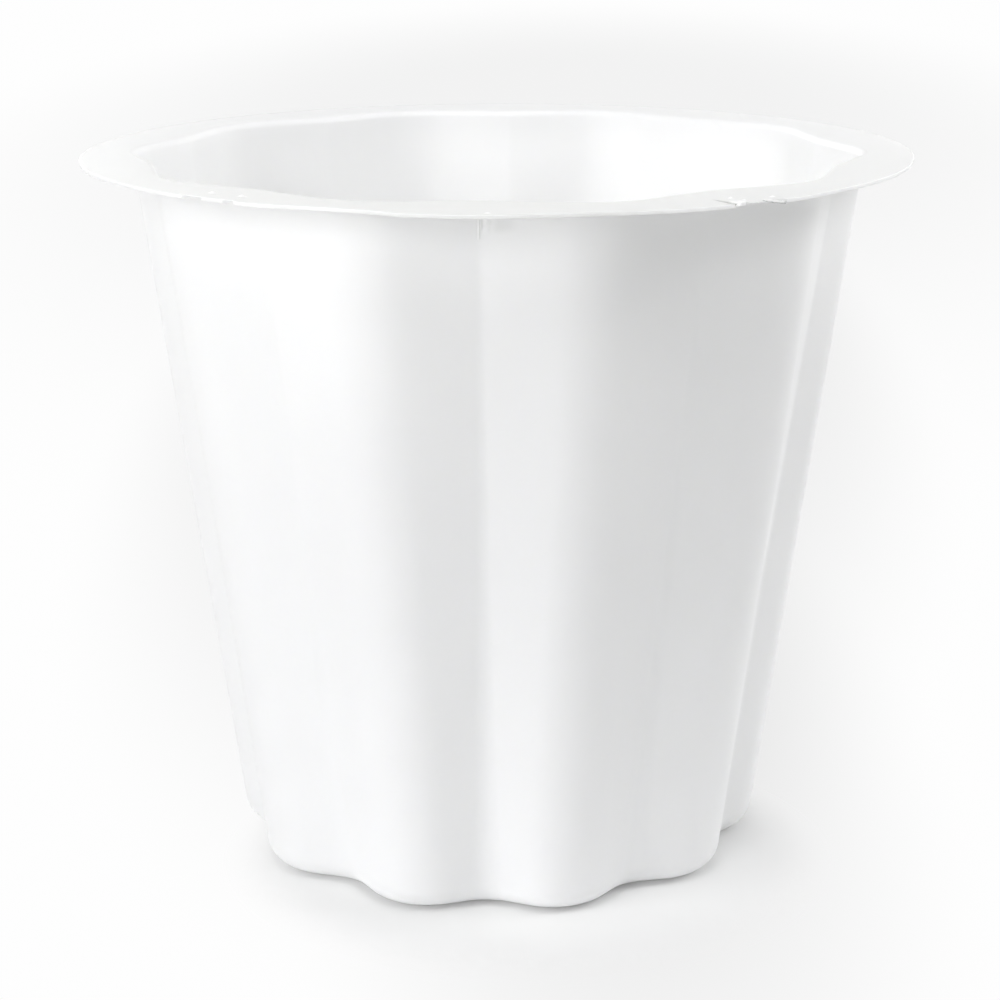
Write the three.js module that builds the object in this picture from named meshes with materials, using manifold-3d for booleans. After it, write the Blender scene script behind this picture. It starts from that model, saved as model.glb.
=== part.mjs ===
import * as THREE from 'three';
import { mergeVertices } from 'three/addons/utils/BufferGeometryUtils.js';
import Module from 'manifold-3d';

// A fluted planter pot: one thin plastic body with a wide flat rim, and a rubber drain plug.
// Millimetres, +Z up. The origin is on the floor, on the pot's axis. A valley faces -Y.

// Overall sizes. The flat rim stands out beyond the wall's crests by its width.
const potHeight = 164;
const rimWidth = 10.75;

// Thickness of the plastic
const rimThickness = 0.8;
const wallThickness = 0.8;
const baseThickness = 0.8;

// Flutes: the wall's outer face is a ring of round crests, straight flanks and round valleys.
// Each size is given at the top of the wall, and where the wall's line meets the floor.
const fluteCount = 10;
const topCrestDiameter = 168.5;
const floorCrestDiameter = 122.2;
const topFluteDepth = 4.4;
const floorFluteDepth = 5.9;
const topCrestRound = 24;
const floorCrestRound = 15.5;
const topValleyRound = 8;
const floorValleyRound = 9.9;

// Bends that join the wall to the rim and to the base, as radii on the outer face
const rimBendRadius = 1.2;
const footBendRadius = 6.8;

// Base: a flat panel, raised inside the ring that the pot stands on. The ring is narrowest at the valleys.
const standWidth = 5;
const panelRise = 5;
const panelStepWidth = 1.5;

// Drain hole in the middle of the panel, with a collar turned down round it
const drainHoleDiameter = 12;
const collarThickness = 0.8;
const collarDrop = 2.2;

// Drain plug: a tapered stopper with a flat head and a tab to pull it by
const seatClearance = 0.3;
const plugHeadOverlap = 3.5;
const plugHeadThickness = 1.8;
const plugHeadChamfer = 0.6;
const plugStemTaper = 0.5;
const plugStemReach = 0.7;
const plugStemWall = 2.2;
const plugBoreDepth = 3;
const tabWidth = 9;
const tabHeight = 6;
const tabThickness = 2.2;

// Facets
const crestSteps = 3;
const valleySteps = 2;
const footBendSteps = 4;
const rimBendSteps = 2;
const wallLevels = 3;
const plugSides = 32;
const tabArchSteps = 10;

// How much of the room between crest and valley their rounds may take, so that a flank is left
const roundShare = 0.98;

const quarterTurn = Math.PI / 2;
const halfFlute = Math.PI / fluteCount;
const ringPoints = 2 * fluteCount * (crestSteps + valleySteps + 1);
const wallSlope = (topCrestDiameter - floorCrestDiameter) / 2 / potHeight;
const wallLean = Math.atan(wallSlope);
const wallStretch = Math.hypot(1, wallSlope);

function blend(low, high, share) {
  return low + (high - low) * share;
}

function crestRadius(z) {
  return blend(floorCrestDiameter, topCrestDiameter, z / potHeight) / 2;
}

function valleyRadius(z) {
  return crestRadius(z) - blend(floorFluteDepth, topFluteDepth, z / potHeight);
}

function arc(centre, radius, from, to, steps) {
  const points = [];
  for (let i = 0; i <= steps; i += 1) {
    const angle = blend(from, to, i / steps);
    points.push([centre[0] + radius * Math.cos(angle), centre[1] + radius * Math.sin(angle)]);
  }
  return points;
}

// The wall's outline at height z, moved inwards by inset. It turns anticlockwise from +X.
// Half a flute runs from the middle of a crest to the middle of a valley, and the rest mirrors it.
function flutedRing(z, inset) {
  const share = z / potHeight;
  const crest = crestRadius(z);
  const valley = valleyRadius(z);
  const outwards = [Math.cos(halfFlute), Math.sin(halfFlute)];

  const chord = [crest - valley * outwards[0], valley * outwards[1]];
  const largestCrestRound = (chord[0] ** 2 + chord[1] ** 2) / (2 * chord[0]);
  const crestRound = Math.min(blend(floorCrestRound, topCrestRound, share), roundShare * largestCrestRound);

  const span = [valley * outwards[0] - (crest - crestRound), valley * outwards[1]];
  const spanOutwards = span[0] * outwards[0] + span[1] * outwards[1];
  const room = span[0] ** 2 + span[1] ** 2 - crestRound ** 2;
  const largestValleyRound = crestRound > spanOutwards ? room / (2 * (crestRound - spanOutwards)) : Infinity;
  const valleyRound = Math.min(
    blend(floorValleyRound, topValleyRound, share),
    roundShare * largestValleyRound,
  );

  const crestCentre = [crest - crestRound, 0];
  const valleyCentre = outwards.map((part) => part * (valley + valleyRound));
  const across = [valleyCentre[0] - crestCentre[0], valleyCentre[1]];
  const flankNormal = Math.atan2(across[1], across[0])
    + Math.asin((crestRound + valleyRound) / Math.hypot(...across)) - quarterTurn;

  const half = [
    ...arc(crestCentre, crestRound - inset, 0, flankNormal, crestSteps),
    ...arc(valleyCentre, valleyRound + inset, flankNormal + Math.PI, halfFlute + Math.PI, valleySteps),
  ];
  const mirrored = half.slice(1, -1).reverse().map(([x, y]) => [x, -y]);
  const ring = [];
  for (let i = 0; i < fluteCount; i += 1) {
    const crestTurn = 2 * halfFlute * i;
    ring.push(...half.map((point) => turned(point, crestTurn, z)));
    ring.push(...mirrored.map((point) => turned(point, crestTurn + 2 * halfFlute, z)));
  }
  return ring;
}

function turned([x, y], angle, z) {
  const [cos, sin] = [Math.cos(angle), Math.sin(angle)];
  return [x * cos - y * sin, x * sin + y * cos, z];
}

function roundRing(radius, z) {
  const ring = [];
  for (let i = 0; i < ringPoints; i += 1) {
    ring.push(turned([radius, 0], 2 * Math.PI * i / ringPoints, z));
  }
  return ring;
}

// Rings round a bend between the wall and the rim or the base. The bend touches the wall's
// skin, which lies skinInset inside the outer face, and its centre is inwards or outwards of it.
function bendRings({ centreZ, skinInset, radius, outwards, from, to, steps }) {
  const reach = (outwards ? radius : -radius) - skinInset;
  const centre = [crestRadius(centreZ) + reach * wallStretch, centreZ];
  return arc(centre, radius, from, to, steps).map(([r, z]) => flutedRing(z, crestRadius(z) - r));
}

// A closed surface through rings that follow each other round the sheet, the last one back to the first
function ringSolid(rings) {
  const positions = rings.flat(2);
  const index = [];
  const count = rings[0].length;
  rings.forEach((ring, k) => {
    const next = (k + 1) % rings.length;
    for (let i = 0; i < count; i += 1) {
      const j = (i + 1) % count;
      const [a, b, c, d] = [k * count + i, k * count + j, next * count + j, next * count + i];
      index.push(a, b, c, a, c, d);
    }
  });
  const geometry = new THREE.BufferGeometry();
  geometry.setAttribute('position', new THREE.Float32BufferAttribute(positions, 3));
  geometry.setIndex(index);
  geometry.computeVertexNormals();
  return geometry;
}

function wallRings(fromZ, toZ, skinInset) {
  const rings = [];
  for (let i = 1; i < wallLevels; i += 1) {
    rings.push(flutedRing(blend(fromZ, toZ, i / wallLevels), skinInset * wallStretch));
  }
  return rings;
}

function potBodyGeometry() {
  const rimRadius = topCrestDiameter / 2 + rimWidth;
  const rimUnderside = potHeight - rimThickness;
  const holeRadius = drainHoleDiameter / 2;
  const collarRadius = holeRadius + collarThickness;
  const collarBottom = panelRise - collarDrop;
  const panelTop = panelRise + baseThickness;
  const stepRadius = valleyRadius(footBendRadius) - footBendRadius * wallStretch - standWidth;
  const panelRadius = stepRadius - panelStepWidth;
  const innerStepRadius = stepRadius + baseThickness;
  const innerPanelRadius = panelRadius + baseThickness;
  const lipRadius = rimBendRadius + wallThickness;
  const innerFootRadius = Math.max(footBendRadius - wallThickness, wallThickness / 2);
  const footAngles = [-quarterTurn, -wallLean];
  const rimAngles = [Math.PI - wallLean, quarterTurn];

  const outerFoot = bendRings({
    centreZ: footBendRadius, skinInset: 0, radius: footBendRadius,
    outwards: false, from: footAngles[0], to: footAngles[1], steps: footBendSteps,
  });
  const outerRimBend = bendRings({
    centreZ: rimUnderside - rimBendRadius, skinInset: 0, radius: rimBendRadius,
    outwards: true, from: rimAngles[0], to: rimAngles[1], steps: rimBendSteps,
  });
  const innerLip = bendRings({
    centreZ: potHeight - lipRadius, skinInset: wallThickness, radius: lipRadius,
    outwards: true, from: rimAngles[1], to: rimAngles[0], steps: rimBendSteps,
  });
  const innerFoot = bendRings({
    centreZ: baseThickness + innerFootRadius, skinInset: wallThickness, radius: innerFootRadius,
    outwards: false, from: footAngles[1], to: footAngles[0], steps: footBendSteps,
  });

  return ringSolid([
    roundRing(collarRadius, collarBottom),
    roundRing(collarRadius, panelRise),
    roundRing(panelRadius, panelRise),
    roundRing(stepRadius, 0),
    ...outerFoot,
    ...wallRings(footBendRadius, rimUnderside, 0),
    ...outerRimBend,
    roundRing(rimRadius, rimUnderside),
    roundRing(rimRadius, potHeight),
    ...innerLip,
    ...wallRings(rimUnderside, footBendRadius, wallThickness),
    ...innerFoot,
    roundRing(innerStepRadius, baseThickness),
    roundRing(innerPanelRadius, panelTop),
    roundRing(holeRadius, panelTop),
    roundRing(holeRadius, collarBottom),
  ]);
}

const wasm = await Module();
wasm.setup();

function toSolid(geometry) {
  const bare = geometry.clone();
  bare.deleteAttribute('normal');
  bare.deleteAttribute('uv');
  const merged = mergeVertices(bare);
  return new wasm.Manifold(new wasm.Mesh({
    numProp: 3,
    vertProperties: new Float32Array(merged.attributes.position.array),
    triVerts: new Uint32Array(merged.index.array),
  }));
}

function toGeometry(solid) {
  const mesh = solid.getMesh();
  const geometry = new THREE.BufferGeometry();
  geometry.setAttribute('position', new THREE.BufferAttribute(mesh.vertProperties, mesh.numProp));
  geometry.setIndex(new THREE.BufferAttribute(mesh.triVerts, 1));
  geometry.computeVertexNormals();
  return geometry;
}

// The stopper's head stands on z = 0, with its stem below.
function drainPlugGeometry() {
  const holeRadius = drainHoleDiameter / 2;
  const headRadius = holeRadius + plugHeadOverlap;
  const stemRadius = holeRadius - seatClearance;
  const stemTipRadius = stemRadius - plugStemTaper;
  const stemLength = seatClearance + baseThickness + collarDrop + plugStemReach;
  const boreRadius = stemTipRadius - plugStemWall;
  const boreTop = plugBoreDepth - stemLength;
  const stopper = new THREE.LatheGeometry([
    [0, boreTop],
    [boreRadius, boreTop],
    [boreRadius, -stemLength],
    [stemTipRadius, -stemLength],
    [stemRadius, 0],
    [headRadius, 0],
    [headRadius, plugHeadThickness - plugHeadChamfer],
    [headRadius - plugHeadChamfer, plugHeadThickness],
    [0, plugHeadThickness],
  ].map(([r, z]) => new THREE.Vector2(r, z)), plugSides);
  stopper.rotateX(quarterTurn);

  const halfWidth = tabWidth / 2;
  const tabRoot = plugHeadThickness / 2;
  const archHeight = plugHeadThickness + tabHeight - halfWidth;
  const outline = new THREE.Shape();
  outline.moveTo(-halfWidth, tabRoot);
  outline.lineTo(halfWidth, tabRoot);
  outline.lineTo(halfWidth, archHeight);
  outline.absarc(0, archHeight, halfWidth, 0, Math.PI);
  outline.lineTo(-halfWidth, tabRoot);
  const tab = new THREE.ExtrudeGeometry(outline, {
    depth: tabThickness, bevelEnabled: false, curveSegments: tabArchSteps,
  });
  tab.translate(0, 0, -tabThickness / 2);
  tab.rotateX(quarterTurn);
  return toGeometry(toSolid(stopper).add(toSolid(tab)));
}

function piece(name, geometry, { color, roughness }) {
  const mesh = new THREE.Mesh(geometry, new THREE.MeshStandardMaterial({ color, roughness, metalness: 0 }));
  mesh.name = name;
  return mesh;
}

const potBody = piece('pot_body', potBodyGeometry(), { color: 0xf4f6f4, roughness: 0.42 });

const drainPlug = piece('drain_plug', drainPlugGeometry(), { color: 0x3a3c3b, roughness: 0.75 });
drainPlug.position.z = panelRise + baseThickness + seatClearance;

const planterPot = new THREE.Group();
planterPot.add(potBody, drainPlug);

export default planterPot;
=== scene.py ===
import bpy
import math
from mathutils import Matrix, Vector, noise


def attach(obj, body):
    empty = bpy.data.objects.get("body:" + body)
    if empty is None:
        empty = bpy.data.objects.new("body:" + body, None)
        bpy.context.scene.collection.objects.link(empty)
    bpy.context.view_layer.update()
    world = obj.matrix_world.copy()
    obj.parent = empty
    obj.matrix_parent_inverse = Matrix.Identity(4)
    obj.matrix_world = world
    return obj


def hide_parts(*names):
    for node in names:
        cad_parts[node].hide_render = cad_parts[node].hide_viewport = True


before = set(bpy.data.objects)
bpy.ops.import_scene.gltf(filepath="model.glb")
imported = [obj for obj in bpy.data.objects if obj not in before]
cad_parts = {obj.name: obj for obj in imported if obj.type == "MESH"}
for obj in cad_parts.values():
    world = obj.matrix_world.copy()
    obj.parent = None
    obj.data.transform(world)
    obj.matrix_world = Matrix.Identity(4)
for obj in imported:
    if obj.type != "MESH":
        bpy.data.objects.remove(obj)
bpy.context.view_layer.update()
print("stage: frame loaded")

millimetre = 0.001


# Camera: the photograph's own, found by fitting the rim, foot and sides to the picture

photoCamera = {
    "distance": 591.7 * millimetre,  # from the pot's axis, along the floor
    "height": 237.6 * millimetre,
    "turn": 2.44,  # degrees round the pot, from the front valley towards +X
    "aimLeft": -0.065,
    "aimDown": 14.856,
    "roll": -0.074,
    "lens": 92.35,  # millimetres, as is the frame's width
    "frameWidth": 36,
    "clip": (0.01, 60.0),
}


def makeCamera(settings):
    data = bpy.data.cameras.new("photoCamera")
    data.lens = settings["lens"]
    data.sensor_width = settings["frameWidth"]
    data.clip_start, data.clip_end = settings["clip"]
    camera = bpy.data.objects.new("photoCamera", data)
    bpy.context.scene.collection.objects.link(camera)
    turn = math.radians(settings["turn"])
    camera.location = (
        settings["distance"] * math.sin(turn),
        -settings["distance"] * math.cos(turn),
        settings["height"],
    )
    heading = Matrix.Rotation(turn + math.radians(settings["aimLeft"]), 3, "Z")
    tilt = Matrix.Rotation(math.radians(90 - settings["aimDown"]), 3, "X")
    roll = Matrix.Rotation(math.radians(settings["roll"]), 3, "Z")
    camera.rotation_euler = (heading @ tilt @ roll).to_euler()
    bpy.context.scene.camera = camera


makeCamera(photoCamera)


# Small helpers for shader nodes

def addNode(tree, kind, values=None, **settings):
    node = tree.nodes.new(kind)
    for name, value in settings.items():
        setattr(node, name, value)
    for name, value in (values or {}).items():
        node.inputs[name].default_value = value
    return node


def startMaterial(name):
    material = bpy.data.materials.new(name)
    material.use_nodes = True
    tree = material.node_tree
    shader = next(node for node in tree.nodes if node.type == "BSDF_PRINCIPLED")
    return material, tree, shader


def startGroup(name, inputs, outputs):
    group = bpy.data.node_groups.new(name, "ShaderNodeTree")
    for socketName, socketType, value in inputs:
        socket = group.interface.new_socket(socketName, in_out="INPUT", socket_type=socketType)
        if value is not None:
            socket.default_value = value
    for socketName, socketType in outputs:
        group.interface.new_socket(socketName, in_out="OUTPUT", socket_type=socketType)
    return group, group.nodes.new("NodeGroupInput"), group.nodes.new("NodeGroupOutput")


def useGroup(tree, group, values, coordinates):
    node = tree.nodes.new("ShaderNodeGroup")
    node.node_tree = group
    for name, value in values.items():
        node.inputs[name].default_value = value
    tree.links.new(coordinates, node.inputs["Position"])
    return node


def mathNode(tree, operation, a, b):
    node = addNode(tree, "ShaderNodeMath", operation=operation)
    for socket, value in zip(node.inputs, (a, b)):
        if isinstance(value, (int, float)):
            socket.default_value = value
        else:
            tree.links.new(value, socket)
    return node.outputs[0]


# Shared effect: the faint unevenness of a moulded or formed surface, as a height and a mask
def makeMouldedSurface():
    group, source, result = startGroup(
        "mouldedSurface",
        [
            ("Position", "NodeSocketVector", None),
            ("Ripple Scale", "NodeSocketFloat", 30.0),
            ("Grain Scale", "NodeSocketFloat", 2000.0),
            ("Ripple", "NodeSocketFloat", 0.8),
            ("Grain", "NodeSocketFloat", 0.2),
        ],
        [("Height", "NodeSocketFloat"), ("Mask", "NodeSocketFloat")],
    )
    link = group.links.new
    ripple = addNode(group, "ShaderNodeTexNoise", {"Detail": 2.0, "Roughness": 0.45})
    grain = addNode(group, "ShaderNodeTexNoise", {"Detail": 3.0, "Roughness": 0.6})
    for texture, scaleName in ((ripple, "Ripple Scale"), (grain, "Grain Scale")):
        link(source.outputs["Position"], texture.inputs["Vector"])
        link(source.outputs[scaleName], texture.inputs["Scale"])
    rippleHeight = mathNode(group, "MULTIPLY", ripple.outputs["Fac"], source.outputs["Ripple"])
    grainHeight = mathNode(group, "MULTIPLY", grain.outputs["Fac"], source.outputs["Grain"])
    link(mathNode(group, "ADD", rippleHeight, grainHeight), result.inputs["Height"])
    link(ripple.outputs["Fac"], result.inputs["Mask"])
    return group


# Shared effect: short fine rubs from handling and stacking, as a mask
def makeHandlingRubs():
    group, source, result = startGroup(
        "handlingRubs",
        [
            ("Position", "NodeSocketVector", None),
            ("Stretch", "NodeSocketVector", (160.0, 160.0, 900.0)),
            ("Amount", "NodeSocketFloat", 0.4),
        ],
        [("Mask", "NodeSocketFloat")],
    )
    link = group.links.new
    stretched = addNode(group, "ShaderNodeVectorMath", operation="MULTIPLY")
    link(source.outputs["Position"], stretched.inputs[0])
    link(source.outputs["Stretch"], stretched.inputs[1])
    streaks = addNode(group, "ShaderNodeTexNoise", {"Scale": 1.0, "Detail": 4.0, "Roughness": 0.7})
    link(stretched.outputs[0], streaks.inputs["Vector"])
    thin = addNode(group, "ShaderNodeMapRange", {"From Min": 0.58, "From Max": 0.74})
    link(streaks.outputs["Fac"], thin.inputs["Value"])
    link(mathNode(group, "MULTIPLY", thin.outputs["Result"], source.outputs["Amount"]), result.inputs["Mask"])
    return group


mouldedSurface = makeMouldedSurface()
handlingRubs = makeHandlingRubs()


# Both materials start from the two effects, and turn their masks into colour, shine and relief.
def surfaceEffects(tree, settings):
    position = addNode(tree, "ShaderNodeTexCoord").outputs["Object"]
    surface = useGroup(tree, mouldedSurface, {
        "Ripple Scale": settings["rippleScale"],
        "Grain Scale": settings["grainScale"],
        "Ripple": settings["ripple"],
        "Grain": settings["grain"],
    }, position)
    rubs = useGroup(tree, handlingRubs, {
        "Stretch": settings["rubStretch"],
        "Amount": settings["rubs"],
    }, position)
    return surface, rubs


def coverColor(tree, under, over, mask):
    node = addNode(tree, "ShaderNodeMix", data_type="RGBA")
    if isinstance(under, tuple):
        node.inputs["A"].default_value = under
    else:
        tree.links.new(under, node.inputs["A"])
    node.inputs["B"].default_value = over
    tree.links.new(mask, node.inputs["Factor"])
    return node.outputs["Result"]


def setShine(tree, shader, settings, mask):
    shine = addNode(tree, "ShaderNodeMapRange", {
        "To Min": settings["roughness"][0],
        "To Max": settings["roughness"][1],
    })
    tree.links.new(mask, shine.inputs["Value"])
    tree.links.new(shine.outputs["Result"], shader.inputs["Roughness"])


def setRelief(tree, shader, settings, height):
    bump = addNode(tree, "ShaderNodeBump", {"Strength": 1.0, "Distance": settings["bump"]})
    tree.links.new(height, bump.inputs["Height"])
    tree.links.new(bump.outputs["Normal"], shader.inputs["Normal"])


# Material: white plastic sheet

potPlastic = {
    "lightColor": (0.955, 0.961, 0.955, 1.0),
    "deepColor": (0.93, 0.939, 0.934, 1.0),
    # The whitening colour also paints a highlight on the pleat. The dark colour paints shade on the cut edge,
    # the rim's top, the tear, under the sliver and in the pleat.
    "whiteningAndPaintedHighlightColor": (0.97, 0.97, 0.97, 1.0),
    "paintedShadeColor": (0.3, 0.3, 0.29, 1.0),
    "roughness": (0.36, 0.46),
    "gloss": 0.2,
    "refraction": 1.49,
    "rippleScale": 22.0,
    "grainScale": 1500.0,
    "ripple": 0.9,
    "grain": 0.05,
    "bump": 0.05 * millimetre,
    "rubStretch": (160.0, 160.0, 900.0),
    "rubs": 0.5,
    "lightDepth": 3.0 * millimetre,  # how far light spreads in the thin sheet, so some comes through
    "lightSpread": (1.0, 1.0, 0.95),
}


def makePotPlastic(settings):
    material, tree, shader = startMaterial("potPlastic")
    link = tree.links.new
    surface, rubs = surfaceEffects(tree, settings)
    # The attribute holds stress whitening and painted highlight above 0, and painted shade below 0.
    wearAndPaintedLight = addNode(tree, "ShaderNodeAttribute", attribute_name="wearAndPaintedLight").outputs["Fac"]
    whiteningAndPaintedHighlight = mathNode(tree, "MAXIMUM", wearAndPaintedLight, 0)
    paintedShadeAndHighlight = mathNode(tree, "MAXIMUM", mathNode(tree, "MULTIPLY", wearAndPaintedLight, -1), 0)
    color = coverColor(tree, settings["lightColor"], settings["deepColor"], surface.outputs["Mask"])
    color = coverColor(tree, color, settings["whiteningAndPaintedHighlightColor"], whiteningAndPaintedHighlight)
    color = coverColor(tree, color, settings["paintedShadeColor"], paintedShadeAndHighlight)
    link(color, shader.inputs["Base Color"])
    worn = mathNode(tree, "MAXIMUM", surface.outputs["Mask"], rubs.outputs["Mask"])
    setShine(tree, shader, settings, mathNode(tree, "MAXIMUM", worn, whiteningAndPaintedHighlight))
    setRelief(tree, shader, settings, surface.outputs["Height"])

    # Light comes through the clean sheet, and hardly where it is whitened by stress, lightened as a painted
    # highlight, or darkened as painted shade.
    solid = mathNode(tree, "MAXIMUM", whiteningAndPaintedHighlight, mathNode(tree, "POWER", paintedShadeAndHighlight, 2))
    link(mathNode(tree, "SUBTRACT", 1.0, solid), shader.inputs["Subsurface Weight"])
    shader.inputs["IOR"].default_value = settings["refraction"]
    shader.inputs["Specular IOR Level"].default_value = settings["gloss"]
    shader.inputs["Subsurface Radius"].default_value = settings["lightSpread"]
    shader.inputs["Subsurface Scale"].default_value = settings["lightDepth"]
    return material


# Material: dark moulded rubber

plugRubber = {
    "color": (0.045, 0.046, 0.046, 1.0),
    "dustColor": (0.16, 0.158, 0.15, 1.0),
    "roughness": (0.55, 0.8),
    "rippleScale": 260.0,
    "grainScale": 4200.0,
    "ripple": 0.5,
    "grain": 0.5,
    "bump": 0.06 * millimetre,
    "rubStretch": (900.0, 900.0, 900.0),
    "rubs": 0.5,
}


def makePlugRubber(settings):
    material, tree, shader = startMaterial("plugRubber")
    surface, rubs = surfaceEffects(tree, settings)
    color = coverColor(tree, settings["color"], settings["dustColor"], rubs.outputs["Mask"])
    tree.links.new(color, shader.inputs["Base Color"])
    setShine(tree, shader, settings, surface.outputs["Mask"])
    setRelief(tree, shader, settings, surface.outputs["Height"])
    return material


potMaterial = makePotPlastic(potPlastic)
plugMaterial = makePlugRubber(plugRubber)
print("stage: materials made")


# Pot body

potSizes = {
    "height": 164.0,
    "rimRadius": 95.0,
    "rimThickness": 0.8,
    "wall": 0.8,
    "flutes": 10,
    "crestRadius": (61.1, 84.25),  # on the floor, and at the top
    "fluteDepth": (5.9, 4.4),
    "crestRound": (15.5, 24.0),
    "valleyRound": (9.9, 8.0),
    "rimBend": 1.2,
    "footBend": 6.8,
    "standWidth": 5.0,
    "panelRise": 5.0,
    "panelStep": 1.5,
    "holeRadius": 6.0,
    "collarDrop": 2.2,
    "edgeRound": 0.3,
    "rimEdgeRound": 0.12,
    "flank": (0.4, 0.75),  # where a flute's straight flank lies, as shares of the way from crest to valley
}
potDetail = {
    "pointsAcrossFlute": 72,
    "wallLevels": 46,
    "topLevels": 18,
    "topFrom": 154.5,  # the wall's levels are closer together above this
    "bendSteps": 10,
    "edgeSteps": 4,
    "flangeStops": (7.8, 7.2, 6.6, 6.1, 5.6, 5.1, 4.4, 3.6, 2.9, 2.3, 1.8, 1.3, 0.9, 0.6, 0.3),
    "fineStep": 0.12,  # between points along the rim, where it is damaged
    "fineGap": 0.3,  # kept clear of usual points beside the fine ones, as a share of their step
}

# The mouth isn't quite level, and the thin rim waves a little and is damaged on both sides of the front.
# Angles go round from the front valley, plus to the right, in degrees. Sizes are in millimetres.
mouthTilt = {"lift": 0.22, "rightUp": 0.0021, "backUp": 0.0028}
rimTilt = {"rightUp": 0.0021, "backUp": 0.0056}
tiltChange = {"from": 80.0, "over": 14.0, "down": (4.0, 1.5)}  # where one passes into the other
rimWave = [
    (-70, 0.0), (-52, 0.3), (-42, 0.2), (-35, 0.36), (-29, 0.18), (-20, 0.4), (-14, 0.3),
    (-8, -0.15), (0, -0.28), (12, -0.12), (27, -0.32), (43, -0.3), (52, 0.0),
]
damageReach = {"inwards": 9.0, "down": 1.5, "edge": 4.0}
cutRoughness = {"along": 1.3, "share": 0.25, "ends": 0.35}
rimNicks = [
    {"angle": -38.35, "width": 5.1, "topBack": 0.4, "bottomBack": 2.2},
    {"angle": -32.3, "width": 2.6, "topBack": 0.4, "bottomBack": 2.2},
]
rimSpecks = [
    {"angle": -37.7, "inwards": 5.1, "width": 3.6, "height": 0.45, "white": 1.0},
    {"angle": -32.5, "inwards": 5.1, "width": 3.2, "height": 0.45, "white": 1.0},
    {"angle": 1.3, "inwards": 1.8, "width": 2.0, "height": 0.2, "white": 0.4},
    {"angle": 34.3, "inwards": 5.6, "width": 1.6, "height": 0.4, "white": 1.0},
    {"angle": 35.2, "inwards": 2.9, "width": 1.4, "height": 0.3, "white": 1.0},
    {"angle": 39.9, "inwards": 2.9, "width": 2.0, "height": 0.3, "white": 1.0},
]
speckHalfDepth = 0.55
rimTear = {
    "angle": (31.8, 32.9),  # at its inner end, and at the edge
    "length": 6.5,
    "closing": 0.2,  # the share of its length over which it ends
    "halfWidth": (0.5, 0.75),
    "depth": 0.3,
    "notch": 1.2,
    "lipEnd": 34.6,  # the strip between the tear and this angle is bent up and white
    "lipLift": 0.3,
    "lipFade": (0.3, 0.5, 0.7),  # after its start, and before and after its end
    "lipWhite": 3.2,  # how far in from the edge the lip is white
}
rimUndercut = {"from": 34.2, "to": 40.4, "topBack": 0.5, "bottomBack": 2.6}
rimSliver = {
    "from": 36.6,
    "to": 40.6,
    "high": 164.5,
    "low": 163.5,
    "height": 0.55,
    "thickness": 0.6,
    "outBy": (0.25, -0.25),
    "taper": (-0.2, 0.25),  # shares of its length between which it grows to its full thickness
    "drop": (-0.1, 1.1),  # and between which it comes down from high to low
    "wave": 0.08,
    "waveCount": 9,
    "steps": 24,
    # White from stress on top, and painted shadow under it.
    "wearAndPaintedLight": (1.0, 1.0, -0.9, -0.9),  # white above and dark below
}
# Painted shade darkens the cut edge, most at the front, and the rim's top, more at the front than at the
# back.
rimEdgePaintedShade = [
    (-180, -0.12), (-20, -0.12), (-5, -0.33), (14, -0.4), (30, -0.2), (50, -0.12), (181, -0.12),
]
rimTopPaintedShade = {"front": -0.365, "back": -0.07, "fade": 0.6}
fineZones = [(-41.5, -35.0), (-34.6, -30.4), (-6.0, 6.0), (30.6, 41.5)]

# A small pleat in the front valley, just under the rim. "at" and "reach" are along the wall.
pleatReach = {"above": 155.0, "beside": 9.5}
# The crest is white partly from stress and partly as a painted highlight. The swell is a painted highlight,
# and the groove and the recess are painted shade.
wallPleat = {
    "crest": {"at": -0.2, "reach": (0.42, 0.3), "height": 0.3, "fade": (155.6, 156.4), "wearAndPaintedLight": 1.0},
    "groove": {"at": 0.42, "reach": (0.35, 0.4), "height": -0.12, "fade": (157.0, 158.6), "wearAndPaintedLight": -0.16},
    "swell": {"at": 1.3, "reach": (0.6, 0.9), "height": 0.15, "fade": (156.4, 157.6), "wearAndPaintedLight": 0.35},
    "recess": {"at": 4.0, "reach": (2.6, 5.0), "height": -0.2, "fade": (156.6, 158.8), "wearAndPaintedLight": -0.17},
}


def blend(pair, share):
    return pair[0] + (pair[1] - pair[0]) * share


def ease(value, low, high):
    share = min(max((value - low) / (high - low), 0), 1)
    return share * share * (3 - 2 * share)


def hump(value):
    return 0.5 + 0.5 * math.cos(math.pi * value) if abs(value) < 1 else 0.0


def ragged(along, seed):
    return noise.noise(Vector((along * cutRoughness["along"], seed, 0.5)))


def alongWave(wave, angle):
    for (angleA, liftA), (angleB, liftB) in zip(wave, wave[1:]):
        if angleA <= angle < angleB:
            return blend((liftA, liftB), ease(angle, angleA, angleB))
    return 0.0


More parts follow.
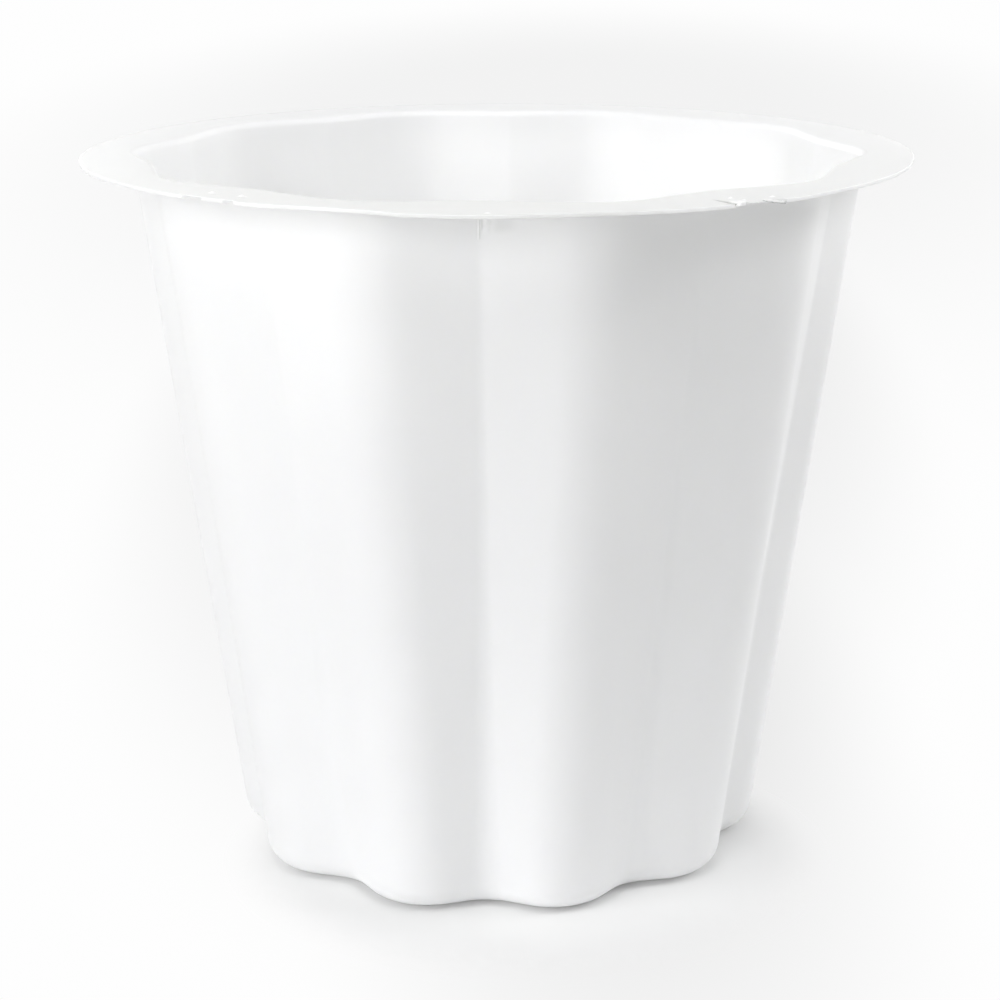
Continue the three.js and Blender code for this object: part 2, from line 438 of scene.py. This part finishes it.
# Gives points on the wall's outline at any height.
class FlutedWall:

    def __init__(self, sizes):
        self.sizes = sizes
        self.half = math.pi / sizes["flutes"]
        self.slope = (sizes["crestRadius"][1] - sizes["crestRadius"][0]) / sizes["height"]
        self.stretch = math.hypot(1, self.slope)
        self.lean = math.atan(self.slope)

    def crest(self, z):
        return blend(self.sizes["crestRadius"], z / self.sizes["height"])

    def valley(self, z):
        return self.crest(z) - blend(self.sizes["fluteDepth"], z / self.sizes["height"])

    def ring(self, z, inset, turns):
        share = z / self.sizes["height"]
        crest, valley = self.crest(z), self.valley(z)
        crestRound = blend(self.sizes["crestRound"], share)
        valleyRound = blend(self.sizes["valleyRound"], share)
        crestCentre = Vector((crest - crestRound, 0))
        valleyCentre = (valley + valleyRound) * Vector((math.cos(self.half), math.sin(self.half)))
        across = valleyCentre - crestCentre
        flank = math.atan2(across.y, across.x) - math.pi / 2
        flank += math.asin((crestRound + valleyRound) / across.length)
        flankOut = Vector((math.cos(flank), math.sin(flank)))
        flankStart = crestCentre + flankOut * (crestRound - inset)
        flankEnd = valleyCentre - flankOut * (valleyRound + inset)
        flankFrom, flankTo = self.sizes["flank"]

        points = []
        for turn in turns:
            flute = round(turn)
            side = turn - flute  # from -0.5, a valley, through 0, a crest, to 0.5
            part = abs(side) * 2
            if part < flankFrom:
                angle = flank * part / flankFrom
                x = crestCentre.x + (crestRound - inset) * math.cos(angle)
                y = (crestRound - inset) * math.sin(angle)
            elif part < flankTo:
                x, y = flankStart.lerp(flankEnd, (part - flankFrom) / (flankTo - flankFrom))
            else:
                angle = math.pi + flank + (self.half - flank) * (part - flankTo) / (1 - flankTo)
                x = valleyCentre.x + (valleyRound + inset) * math.cos(angle)
                y = valleyCentre.y + (valleyRound + inset) * math.sin(angle)
            if side < 0:
                y = -y
            spin = 2 * self.half * flute
            points.append((
                x * math.cos(spin) - y * math.sin(spin),
                x * math.sin(spin) + y * math.cos(spin),
                z,
            ))
        return points

    def roundRing(self, radius, z, turns):
        return [
            (radius * math.cos(2 * self.half * turn), radius * math.sin(2 * self.half * turn), z)
            for turn in turns
        ]


def arcPoints(centre, radius, start, end, steps):
    return [
        (centre[0] + radius * math.cos(blend((start, end), i / steps)),
         centre[1] + radius * math.sin(blend((start, end), i / steps)))
        for i in range(steps + 1)
    ]


def potRings(sizes, detail, turns):
    wall = FlutedWall(sizes)
    quarter = math.pi / 2
    thickness = sizes["wall"]
    rimBottom = sizes["height"] - sizes["rimThickness"]
    edge = sizes["edgeRound"]

    def bend(centreZ, skinInset, radius, outwards, start, end):
        reach = (radius if outwards else -radius) - skinInset
        centre = (wall.crest(centreZ) + reach * wall.stretch, centreZ)
        return [
            wall.ring(z, wall.crest(z) - r, turns)
            for r, z in arcPoints(centre, radius, start, end, detail["bendSteps"])
        ]

    def wallRings(low, high, skinInset, levels=detail["wallLevels"]):
        return [
            wall.ring(blend((low, high), i / levels), skinInset * wall.stretch, turns)
            for i in range(1, levels)
        ]

    def corner(r, z, start, end, radius=edge):
        return [
            wall.roundRing(x, y, turns)
            for x, y in arcPoints((r, z), radius, start, end, detail["edgeSteps"])
        ]

    def flange(z, stops):
        return [wall.roundRing(sizes["rimRadius"] - stop, z, turns) for stop in stops]

    stepRadius = wall.valley(sizes["footBend"]) - sizes["footBend"] * wall.stretch - sizes["standWidth"]
    panelRadius = stepRadius - sizes["panelStep"]
    panelTop = sizes["panelRise"] + thickness
    collarBottom = sizes["panelRise"] - sizes["collarDrop"]
    hole, collar = sizes["holeRadius"], sizes["holeRadius"] + thickness
    rim, rimEdge = sizes["rimRadius"], sizes["rimEdgeRound"]
    footInside = sizes["footBend"] - thickness
    lip = sizes["rimBend"] + thickness

    rings = []
    rings += corner(collar - edge, collarBottom + edge, -quarter, 0)
    rings += corner(collar + edge, sizes["panelRise"] - edge, 2 * quarter, quarter)
    rings += corner(panelRadius - edge, sizes["panelRise"] - edge, quarter, 0)
    rings += corner(stepRadius + edge, edge, -2 * quarter, -quarter)
    rings += bend(sizes["footBend"], 0, sizes["footBend"], False, -quarter, -wall.lean)
    rings += wallRings(sizes["footBend"], detail["topFrom"], 0)
    rings += wallRings(detail["topFrom"], rimBottom - sizes["rimBend"], 0, detail["topLevels"])
    rings += bend(rimBottom - sizes["rimBend"], 0, sizes["rimBend"], True, math.pi - wall.lean, quarter)
    outerRings = len(rings)
    rings += flange(rimBottom, detail["flangeStops"])
    rings += corner(rim - rimEdge, rimBottom + rimEdge, -quarter, 0, rimEdge)
    rings += corner(rim - rimEdge, sizes["height"] - rimEdge, 0, quarter, rimEdge)
    rings += flange(sizes["height"], reversed(detail["flangeStops"]))
    rings += bend(sizes["height"] - lip, thickness, lip, True, quarter, math.pi - wall.lean)
    rings += wallRings(sizes["height"] - lip, thickness + footInside, thickness)
    rings += bend(thickness + footInside, thickness, footInside, False, -wall.lean, -quarter)
    rings += corner(stepRadius + thickness + edge, thickness + edge, -quarter, -2 * quarter)
    rings += corner(panelRadius + thickness - edge, panelTop - edge, 0, quarter)
    rings += corner(hole + edge, panelTop - edge, quarter, 2 * quarter)
    rings += corner(hole + edge, collarBottom + edge, 2 * quarter, 3 * quarter)
    return rings, outerRings


# Set back between two angles, more at the bottom of the edge than at its top
def undercut(angle, start, stop, topBack, bottomBack, onTop):
    perDegree = math.radians(1) * potSizes["rimRadius"]
    rough = cutRoughness["share"] * ragged(angle * perDegree, start)
    ends = cutRoughness["ends"] / perDegree
    share = ease(angle + rough / perDegree, start - ends, start + ends)
    share *= 1 - ease(angle + rough / perDegree, stop - ends, stop + ends)
    return -share * (topBack if onTop else bottomBack) * (1 + rough)


def tearAt(tear, angle, inwards, onTop):
    reach = 1 - inwards / tear["length"]
    if reach <= 0:
        return 0.0, 0.0
    along = math.radians(angle - blend(tear["angle"], reach)) * potSizes["rimRadius"]
    across = (along + cutRoughness["share"] * ragged(inwards, 3)) / blend(tear["halfWidth"], reach)
    crack = hump(across) * ease(reach, 0, tear["closing"])
    return -tear["notch"] * crack * max(0, 1 - inwards), -tear["depth"] * crack if onTop else 0.0


# Moves one point of the rim where the edge is damaged, and gives its wear and painted light, which is
# above 0 where the plastic is stressed white and below 0 where shade is painted.
def damagedRim(point, sizes):
    x, y, z = point
    r = math.hypot(x, y)
    inwards = sizes["rimRadius"] - r
    # Painted shade on the rim's top, darker at the front than at the back.
    paintedTopShade = blend((rimTopPaintedShade["front"], rimTopPaintedShade["back"]), 0.5 + y / sizes["rimRadius"] / 2)
    paintedTopShade *= ease(z, sizes["height"] - rimTopPaintedShade["fade"], sizes["height"])
    if inwards > damageReach["inwards"] or z < sizes["height"] - damageReach["down"]:
        return point, paintedTopShade
    angle = math.degrees(math.atan2(x, -y))
    perDegree = math.radians(1) * sizes["rimRadius"]
    onTop = z > sizes["height"] - sizes["rimThickness"] / 2
    nearEdge = max(0, 1 - inwards / damageReach["edge"])
    out = up = 0.0
    # Painted shade along the cut edge, darkest at the front.
    wearAndPaintedLight = alongWave(rimEdgePaintedShade, angle) if inwards < sizes["rimEdgeRound"] else paintedTopShade

    for nick in rimNicks:
        half = nick["width"] / 2 / perDegree
        start, stop = nick["angle"] - half, nick["angle"] + half
        out += undercut(angle, start, stop, nick["topBack"], nick["bottomBack"], onTop) * nearEdge
    cut = rimUndercut
    out += undercut(angle, cut["from"], cut["to"], cut["topBack"], cut["bottomBack"], onTop) * nearEdge

    tear = rimTear
    notch, drop = tearAt(tear, angle, inwards, onTop)
    lipStart = blend(tear["angle"], 1 - inwards / tear["length"])
    afterStart, beforeEnd, afterEnd = tear["lipFade"]
    lip = ease(angle, lipStart, lipStart + afterStart)
    lip *= 1 - ease(angle, tear["lipEnd"] - beforeEnd, tear["lipEnd"] + afterEnd)
    lip *= ease(1 - inwards / tear["length"], 0, 1)
    out += notch
    up += drop + tear["lipLift"] * lip
    wearAndPaintedLight = blend((wearAndPaintedLight, 1), lip * max(0, 1 - inwards / tear["lipWhite"]))
    # Painted shade darkens the tear's crack.
    wearAndPaintedLight = blend((wearAndPaintedLight, -1), -drop / tear["depth"])

    for speck in rimSpecks:
        along = (angle - speck["angle"]) * perDegree
        bump = hump(along * 2 / speck["width"]) * hump((inwards - speck["inwards"]) / speckHalfDepth)
        up += speck["height"] * bump if onTop else 0
        wearAndPaintedLight = blend((wearAndPaintedLight, 1), bump * speck["white"])
    share = (r + out) / r
    return (x * share, y * share, z + up), wearAndPaintedLight


# Folds the wall, and gives the pleat's marks: whitening and painted highlight above 0, painted shade below 0.
def pleated(point):
    x, y, z = point
    if z < pleatReach["above"] or abs(x) > pleatReach["beside"] or y > 0:
        return point, 0.0
    out = wearAndPaintedLight = 0.0
    for fold in wallPleat.values():
        side = fold["reach"][0] if x < fold["at"] else fold["reach"][1]
        share = hump((x - fold["at"]) / side) * ease(z, *fold["fade"])
        out += fold["height"] * share
        wearAndPaintedLight += fold["wearAndPaintedLight"] * share
    return (x, y - out, z), wearAndPaintedLight


# The mouth tilts a little, and the rim's outer edge droops and waves.
def settled(point, sizes):
    x, y, z = point
    mouth = mouthTilt["lift"] + mouthTilt["rightUp"] * x + mouthTilt["backUp"] * y
    edge = rimTilt["rightUp"] * x + rimTilt["backUp"] * y
    edge += alongWave(rimWave, math.degrees(math.atan2(x, -y)))
    upwards = (z / sizes["height"]) ** 3
    outwards = min(max((math.hypot(x, y) - tiltChange["from"]) / tiltChange["over"], 0), 1)
    outwards *= ease(z, sizes["height"] - tiltChange["down"][0], sizes["height"] - tiltChange["down"][1])
    return (x, y, z + blend((mouth * upwards, edge), outwards))


def turnsRound(sizes, detail):
    across = detail["pointsAcrossFlute"]
    turns = [i / across for i in range(across * sizes["flutes"])]
    perTurn = 360 / sizes["flutes"]
    step = detail["fineStep"] / (math.radians(1) * sizes["rimRadius"]) / perTurn
    gap = detail["fineGap"] / across
    for low, high in fineZones:
        start = (low - 90) % 360 / perTurn
        stop = start + (high - low) / perTurn
        turns = [turn for turn in turns if not start - gap <= turn <= stop + gap]
        count = round((stop - start) / step)
        turns += [blend((start, stop), i / count) for i in range(count + 1)]
    return sorted(turns)


# The sliver is a strip of the edge that still hangs on at its right end, as rings round its length.
def sliverShell(sliver, sizes):
    shell = []
    for i in range(sliver["steps"] + 1):
        share = i / sliver["steps"]
        angle = math.radians(blend((sliver["from"], sliver["to"]), share))
        out = Vector((math.sin(angle), -math.cos(angle), 0))
        thin = ease(share, *sliver["taper"])
        high = blend((sliver["high"], sliver["low"]), ease(share, *sliver["drop"]))
        high += sliver["wave"] * ragged(share * sliver["waveCount"], 5)
        r = sizes["rimRadius"] + blend(sliver["outBy"], share)
        row = []
        for inwards, down in ((0, 0), (1, 0), (1, 1), (0, 1)):
            place = out * (r - inwards * sliver["thickness"] * thin)
            row.append((place.x, place.y, high - down * sliver["height"] * thin))
        shell.append(row)
    return shell


def addShell(shell, sizes, wearAndPaintedLight, points, wearAndPaintedLightValues, faces):
    first, across = len(points), len(shell[0])
    for row in shell:
        points += [settled(point, sizes) for point in row]
        wearAndPaintedLightValues += wearAndPaintedLight
    for k in range(len(shell) - 1):
        for i in range(across):
            j = (i + 1) % across
            a, b = first + k * across, first + (k + 1) * across
            faces.append((a + i, a + j, b + j, b + i))
    faces.append(tuple(first + i for i in reversed(range(across))))
    faces.append(tuple(first + (len(shell) - 1) * across + i for i in range(across)))


def addSmoothPiece(name, points, faces, material):
    mesh = bpy.data.meshes.new(name)
    mesh.from_pydata([tuple(millimetre * c for c in point) for point in points], [], faces)
    for face in mesh.polygons:
        face.use_smooth = True
    mesh.materials.append(material)
    piece = bpy.data.objects.new(name, mesh)
    bpy.context.scene.collection.objects.link(piece)
    return piece


def makePotBody(sizes, detail):
    turns = turnsRound(sizes, detail)
    rings, outerRings = potRings(sizes, detail, turns)
    count = len(turns)
    points, wearAndPaintedLightValues, faces = [], [], []
    for k, ring in enumerate(rings):
        for point in ring:
            # The pleat gives stress whitening, painted highlight and painted shade.
            folded, paintedShadeAndHighlight = pleated(point) if k < outerRings else (point, 0.0)
            moved, wearAndPaintedLight = damagedRim(folded, sizes)
            points.append(settled(moved, sizes))
            wearAndPaintedLightValues.append(wearAndPaintedLight + paintedShadeAndHighlight)
    for k in range(len(rings)):
        after = (k + 1) % len(rings)
        for i in range(count):
            j = (i + 1) % count
            faces.append((k * count + i, k * count + j, after * count + j, after * count + i))
    addShell(sliverShell(rimSliver, sizes), sizes, rimSliver["wearAndPaintedLight"], points, wearAndPaintedLightValues, faces)
    piece = addSmoothPiece("fluted_pot", points, faces, potMaterial)
    # The attribute carries stress whitening and painted highlight above 0, and painted shade below 0.
    worn = piece.data.attributes.new("wearAndPaintedLight", "FLOAT", "POINT")
    worn.data.foreach_set("value", wearAndPaintedLightValues)
    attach(piece, "pot")
    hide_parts("pot_body")


makePotBody(potSizes, potDetail)
print("stage: pot body made")


# Drain plug: a soft stopper with rounded edges, a ring mark on its head and grip ribs on its tab

plugSizes = {
    "seat": 6.1,  # height of the head's underside when the stopper is in
    "headRadius": 9.5,
    "headThickness": 1.8,
    "headRound": 0.6,
    "underRound": 0.25,
    "markRadius": 7.4,
    "markWidth": 0.35,
    "markDepth": 0.22,
    "stemRadius": 5.7,
    "tipRadius": 5.2,
    "stemLength": 4.0,
    "tipRound": 0.45,
    "boreRadius": 3.0,
    "boreDepth": 3.0,
    "tabWidth": 9.0,
    "tabHeight": 6.0,
    "tabThickness": 2.2,
    "tabRound": 0.5,
    "tabFlare": 0.7,
    "ribHeight": 0.14,
    "ribPitch": 1.15,
    "ribsFrom": 4.0,
    "ribsTo": 6.6,
    "ribFade": 0.3,
}
plugDetail = {
    "sides": 72,
    "roundSteps": 5,
    "markSteps": 8,
    "tabCornerSteps": 4,
    "sideSteps": 14,
    "archSteps": 16,
    "archGap": 0.05,  # the arch ends just short of its peak, so that the last level has some width
}


def plugProfile(sizes, detail):
    quarter, steps, markSteps = math.pi / 2, detail["roundSteps"], detail["markSteps"]
    top, head, stem = sizes["headThickness"], sizes["headRadius"], sizes["stemLength"]
    mark, half, deep = sizes["markRadius"], sizes["markWidth"], sizes["markDepth"]
    edge, under, tip = sizes["headRound"], sizes["underRound"], sizes["tipRound"]
    bore, boreTop = sizes["boreRadius"], sizes["boreDepth"] - stem
    profile = [(0, top), (mark - 2 * half, top)]
    profile += [
        (mark - half + 2 * half * i / markSteps, top - deep * hump(2 * i / markSteps - 1))
        for i in range(markSteps + 1)
    ]
    profile += arcPoints((head - edge, top - edge), edge, quarter, 0, steps)
    profile += arcPoints((head - under, under), under, 0, -quarter, steps)
    profile += arcPoints((sizes["stemRadius"] + under, -under), under, quarter, 2 * quarter, steps)
    profile += arcPoints((sizes["tipRadius"] - tip, tip - stem), tip, 0, -quarter, steps)
    profile += arcPoints((bore + under, under - stem), under, -quarter, -2 * quarter, steps)
    profile += arcPoints((bore - under, boreTop - under), under, 0, quarter, steps)
    profile.append((0, boreTop))
    return profile


def addLathe(profile, sides, lift, points, faces):
    first = len(points)
    for r, z in profile:
        for i in range(sides):
            angle = 2 * math.pi * i / sides
            points.append((r * math.cos(angle), r * math.sin(angle), z + lift))
    for k in range(len(profile) - 1):
        for i in range(sides):
            j = (i + 1) % sides
            a, b = first + k * sides, first + (k + 1) * sides
            faces.append((a + j, a + i, b + i, b + j))


# One level of the tab: a rectangle with round corners
def tabLevel(halfWidth, halfThickness, corner, z, steps):
    corner = min(corner, halfWidth, halfThickness)
    level = []
    for turn, (signX, signY) in enumerate(((1, 1), (-1, 1), (-1, -1), (1, -1))):
        centre = (signX * (halfWidth - corner), signY * (halfThickness - corner))
        start = turn * math.pi / 2
        level += [(x, y, z) for x, y in arcPoints(centre, corner, start, start + math.pi / 2, steps)]
    return level


def tabLevels(sizes, detail):
    head, half, thick = sizes["headThickness"], sizes["tabWidth"] / 2, sizes["tabThickness"] / 2
    arch = head + sizes["tabHeight"] - half
    spots = [(half, head / 2)]
    spots += [(half, blend((head, arch), i / detail["sideSteps"])) for i in range(detail["sideSteps"] + 1)]
    spots += arcPoints((0, arch), half, 0, math.pi / 2 - detail["archGap"], detail["archSteps"])[1:]
    levels = []
    for width, z in spots:
        below = max(0, arch + half - z)
        tip = sizes["tabRound"]
        side = thick if below > tip else thick - tip + math.sqrt(max(tip ** 2 - (tip - below) ** 2, 0))
        flare = sizes["tabFlare"] * min(1, max(0, 1 - (z - head) / sizes["tabFlare"])) ** 2
        inRibs = ease(z, sizes["ribsFrom"] - sizes["ribFade"], sizes["ribsFrom"])
        inRibs *= 1 - ease(z, sizes["ribsTo"], sizes["ribsTo"] + sizes["ribFade"])
        rib = sizes["ribHeight"] * inRibs * (0.5 + 0.5 * math.cos(2 * math.pi * z / sizes["ribPitch"]))
        levels.append(tabLevel(width + flare, side + flare + rib, tip, z, detail["tabCornerSteps"]))
    return levels


def addTab(levels, lift, points, faces):
    first, across = len(points), len(levels[0])
    for level in levels:
        points += [(x, y, z + lift) for x, y, z in level]
    for k in range(len(levels) - 1):
        for i in range(across):
            j = (i + 1) % across
            a, b = first + k * across, first + (k + 1) * across
            faces.append((a + i, a + j, b + j, b + i))
    faces.append(tuple(first + (len(levels) - 1) * across + i for i in range(across)))


def makeDrainPlug(sizes, detail):
    points, faces = [], []
    addLathe(plugProfile(sizes, detail), detail["sides"], sizes["seat"], points, faces)
    addTab(tabLevels(sizes, detail), sizes["seat"], points, faces)
    piece = addSmoothPiece("rubber_stopper", points, faces, plugMaterial)
    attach(piece, "plug")
    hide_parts("drain_plug")


makeDrainPlug(plugSizes, plugDetail)
print("stage: drain plug made")


# Floor and lights

stageLook = {
    "floorSize": 9.0,
    "floorDrop": 0.2 * millimetre,
    "roughness": 0.9,
    "nearColor": (0.86, 0.862, 0.865),
    "farShade": 0.4,  # what the floor keeps of its colour away from the pot, in the light it throws back
    "shadeFrom": 0.2,
    "shadeTo": 0.6,
    "tone": 0.99,  # where the floor is seen directly
    "litShare": 0.78,  # how much of that comes from the lamps beside the foot, so that the pot's shadow shows
    "litLevel": 0.82,
    "litCentre": (0.008, -0.021, 0.0),
    "litFrom": 0.05,
    "litTo": 0.072,
}

# Painted soft shades on the seen floor, as ellipses that fade from "inner" to 1 of their half widths
floorShades = {
    "behind": {"centre": (-0.01, 1.6), "half": (0.54, 1.44), "inner": 0.28, "depth": 0.1},
    "around": {"centre": (-0.005, 0.6), "half": (0.18, 0.73), "inner": 0.64, "depth": 0.105},
    "beside": {"centre": (0.035, 0.04), "half": (0.085, 0.31), "inner": 0.2, "depth": 0.14},
    "corner": {"centre": (0.05, -0.03), "half": (0.025, 0.025), "inner": 0.1, "depth": 0.02},
}


def smoothRange(tree, value, start, stop, low=0.0, high=1.0):
    node = addNode(tree, "ShaderNodeMapRange", {
        "From Min": start,
        "From Max": stop,
        "To Min": low,
        "To Max": high,
    }, interpolation_type="SMOOTHSTEP")
    tree.links.new(value, node.inputs["Value"])
    return node.outputs["Result"]


# True for rays from the camera, and for what shows in a gloss or through something clear
def seenDirectly(tree):
    path = addNode(tree, "ShaderNodeLightPath")
    gloss = mathNode(tree, "MAXIMUM", path.outputs["Is Glossy Ray"], path.outputs["Is Transmission Ray"])
    return mathNode(tree, "MAXIMUM", path.outputs["Is Camera Ray"], gloss)


# One painted soft shade, as what it leaves of the floor's tone
def floorShade(tree, position, settings):
    fromCentre = addNode(tree, "ShaderNodeVectorMath", operation="SUBTRACT")
    fromCentre.inputs[1].default_value = (*settings["centre"], 0)
    tree.links.new(position, fromCentre.inputs[0])
    squeezed = addNode(tree, "ShaderNodeVectorMath", operation="DIVIDE")
    squeezed.inputs[1].default_value = (*settings["half"], 1)
    tree.links.new(fromCentre.outputs["Vector"], squeezed.inputs[0])
    distance = addNode(tree, "ShaderNodeVectorMath", operation="LENGTH")
    tree.links.new(squeezed.outputs["Vector"], distance.inputs[0])
    return smoothRange(tree, distance.outputs["Value"], settings["inner"], 1.0, 1 - settings["depth"], 1.0)


# The floor throws back less light further away, as a lit table in a dim room does.
# Where it is seen directly, it has the photograph's pale tones, and the pot's shadow beside the foot.
def makeFloor(settings, shades):
    half = settings["floorSize"] / 2
    mesh = bpy.data.meshes.new("studio_floor")
    mesh.from_pydata(
        [(-half, -half, 0), (half, -half, 0), (half, half, 0), (-half, half, 0)], [], [(0, 1, 2, 3)]
    )
    floor = bpy.data.objects.new("studio_floor", mesh)
    bpy.context.scene.collection.objects.link(floor)
    floor.location.z = -settings["floorDrop"]

    material, tree, shader = startMaterial("studioFloor")
    link = tree.links.new
    shader.inputs["Roughness"].default_value = settings["roughness"]
    shader.inputs["Specular IOR Level"].default_value = 0.0
    position = addNode(tree, "ShaderNodeTexCoord").outputs["Object"]
    distance = addNode(tree, "ShaderNodeVectorMath", operation="LENGTH")
    link(position, distance.inputs[0])
    seen = seenDirectly(tree)

    shade = smoothRange(
        tree, distance.outputs["Value"], settings["shadeFrom"], settings["shadeTo"], 1.0, settings["farShade"]
    )
    fromFoot = addNode(tree, "ShaderNodeVectorMath", operation="DISTANCE")
    fromFoot.inputs[1].default_value = settings["litCentre"]
    link(position, fromFoot.inputs[0])
    lit = smoothRange(
        tree, fromFoot.outputs["Value"], settings["litFrom"], settings["litTo"], settings["litShare"], 0.0
    )
    strength = addNode(tree, "ShaderNodeMix", data_type="FLOAT")
    link(seen, strength.inputs["Factor"])
    link(shade, strength.inputs["A"])
    link(mathNode(tree, "MULTIPLY", lit, settings["litLevel"]), strength.inputs["B"])
    color = addNode(tree, "ShaderNodeVectorMath", operation="SCALE")
    color.inputs[0].default_value = settings["nearColor"]
    link(strength.outputs["Result"], color.inputs["Scale"])
    link(color.outputs["Vector"], shader.inputs["Base Color"])

    glow = mathNode(tree, "MULTIPLY", mathNode(tree, "SUBTRACT", 1.0, lit), settings["tone"])
    # Painted shade darkens the seen floor's glow behind and around the pot, and beside it and its foot on the
    # right.
    for shadeSettings in shades.values():
        glow = mathNode(tree, "MULTIPLY", glow, floorShade(tree, position, shadeSettings))
    link(mathNode(tree, "MULTIPLY", glow, seen), shader.inputs["Emission Strength"])
    shader.inputs["Emission Color"].default_value = (1, 1, 1, 1)
    mesh.materials.append(material)


# The sky outside the lamps is dark, and where it is seen directly it is white.
def makeWorld():
    world = bpy.data.worlds.new("studioWorld")
    bpy.context.scene.world = world
    world.use_nodes = True
    tree = world.node_tree
    background = next(node for node in tree.nodes if node.type == "BACKGROUND")
    background.inputs["Color"].default_value = (1, 1, 1, 1)
    tree.links.new(seenDirectly(tree), background.inputs["Strength"])


# Softboxes round the pot. Azimuth 0 is towards the camera and 90 is to the right, in degrees.
studioLamps = {
    "lowLeft": {"azimuth": -60, "elevation": 12, "power": 9.7},
    "lowFront": {"azimuth": -20, "elevation": 10, "power": 1.8},
    "lowRight": {"azimuth": 124, "elevation": 12, "power": 8.0},
    "frontLeft": {"azimuth": -20, "elevation": 22, "power": 7.2},
    "backLeft": {"azimuth": -150, "elevation": 20, "power": 6.0},
    "backRight": {"azimuth": 150, "elevation": 20, "power": 2.4},
    "left": {"azimuth": -50, "elevation": 35, "power": 4.6},
    "right": {"azimuth": 90, "elevation": 35, "power": 11.4},
    "highFront": {"azimuth": 0, "elevation": 65, "power": 12.0},
}
softbox = {"size": 0.7, "distance": 1.7, "aim": (0, 0, 0.08)}


def makeLamp(name, settings, box):
    data = bpy.data.lights.new(name, "AREA")
    data.shape = "SQUARE"
    data.size = box["size"]
    data.energy = settings["power"]
    lamp = bpy.data.objects.new(name, data)
    bpy.context.scene.collection.objects.link(lamp)
    azimuth, elevation = math.radians(settings["azimuth"]), math.radians(settings["elevation"])
    back = Vector((
        math.sin(azimuth) * math.cos(elevation),
        -math.cos(azimuth) * math.cos(elevation),
        math.sin(elevation),
    ))
    lamp.location = Vector(box["aim"]) + back * box["distance"]
    lamp.rotation_euler = (-back).to_track_quat("-Z", "Y").to_euler()
    lamp.visible_camera = False


makeFloor(stageLook, floorShades)
makeWorld()
for lampName, lampSettings in studioLamps.items():
    makeLamp(lampName, lampSettings, softbox)
bpy.context.scene.view_settings.view_transform = "Standard"
print("stage: floor and lights made")
